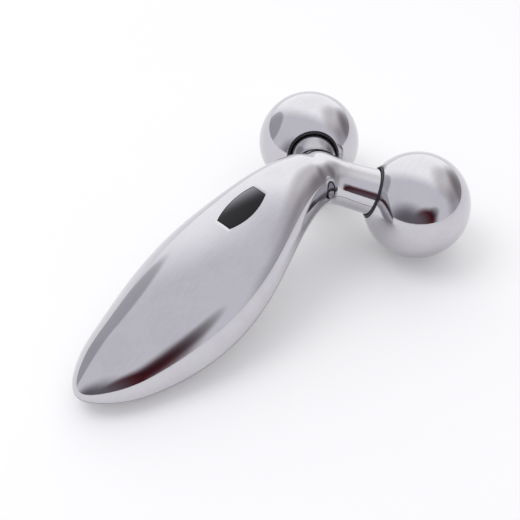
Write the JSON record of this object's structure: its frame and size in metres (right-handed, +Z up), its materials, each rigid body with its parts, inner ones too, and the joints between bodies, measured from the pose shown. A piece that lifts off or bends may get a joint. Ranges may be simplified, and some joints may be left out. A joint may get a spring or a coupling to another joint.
{
  "type": "facial toning roller",
  "caption": "Facial toning roller: a chrome Y-shaped handle with a black solar window carries chrome balls that spin freely on angled shafts.",
  "frame": {"origin": "on the table, under the middle of the roller's length and width, as it lies at rest on the belly of its handle and its two balls", "axes": "+X runs from the tail of the handle to the balls, +Y towards the left ball, +Z up through the solar window's side"},
  "size_m": [0.16, 0.0954, 0.0465],
  "materials": {
    "chrome_plate": "bright chrome plating over moulded plastic",
    "chrome_skin": "bright chrome plated metal skin, seamless",
    "black_plastic": "satin black moulded plastic",
    "window_plastic": "polished dark tinted window",
    "black_rubber": "matt black rubber",
    "solar_cell": "dark violet cell film",
    "board": "green laminate board",
    "frame_plastic": "glass-filled nylon",
    "steel": "turned stainless steel",
    "weight_steel": "zinc plated iron",
    "brass": "bare brass",
    "nylon": "natural nylon",
    "red_insulation": "red wire insulation",
    "black_insulation": "black wire insulation"
  },
  "bodies": {
    "handle": {"upper_cover": "chrome_plate", "lower_cover": "chrome_plate", "handle_frame": "frame_plastic", "solar_window": "window_plastic", "window_gasket": "black_rubber", "solar_cell": "solar_cell", "cell_board": "board", "contact_spring": "brass", "balance_weight": "weight_steel", "weight_screws": "steel", "frame_screws": "steel", "positive_lead": "red_insulation", "left_roller_shaft": "steel", "right_roller_shaft": "steel", "left_shaft_pin": "steel", "right_shaft_pin": "steel", "left_shaft_insulator": "black_plastic", "right_shaft_insulator": "black_plastic", "left_terminal_ring": "brass", "right_terminal_ring": "brass", "left_negative_lead": "black_insulation", "right_negative_lead": "black_insulation", "left_thrust_washer": "nylon", "right_thrust_washer": "nylon", "left_end_washer": "nylon", "right_end_washer": "nylon", "left_stop_ring": "steel", "right_stop_ring": "steel"},
    "left_ball": {"left_ball_skin": "chrome_skin", "left_ball_core": "black_plastic", "left_core_cap": "black_plastic", "left_bearing_sleeve": "nylon", "left_seal_ring": "black_plastic"},
    "right_ball": {"right_ball_skin": "chrome_skin", "right_ball_core": "black_plastic", "right_core_cap": "black_plastic", "right_bearing_sleeve": "nylon", "right_seal_ring": "black_plastic"}
  },
  "joints": [
    {"name": "left_ball_spin", "type": "hinge", "parent": "handle", "child": "left_ball", "pos_m": [0.06, 0.0277, 0.02], "axis": [-0.6273, -0.709, 0.3223], "continuous": true},
    {"name": "right_ball_spin", "type": "hinge", "parent": "handle", "child": "right_ball", "pos_m": [0.06, -0.0277, 0.02], "axis": [-0.6273, 0.709, 0.3223], "continuous": true}
  ]
}
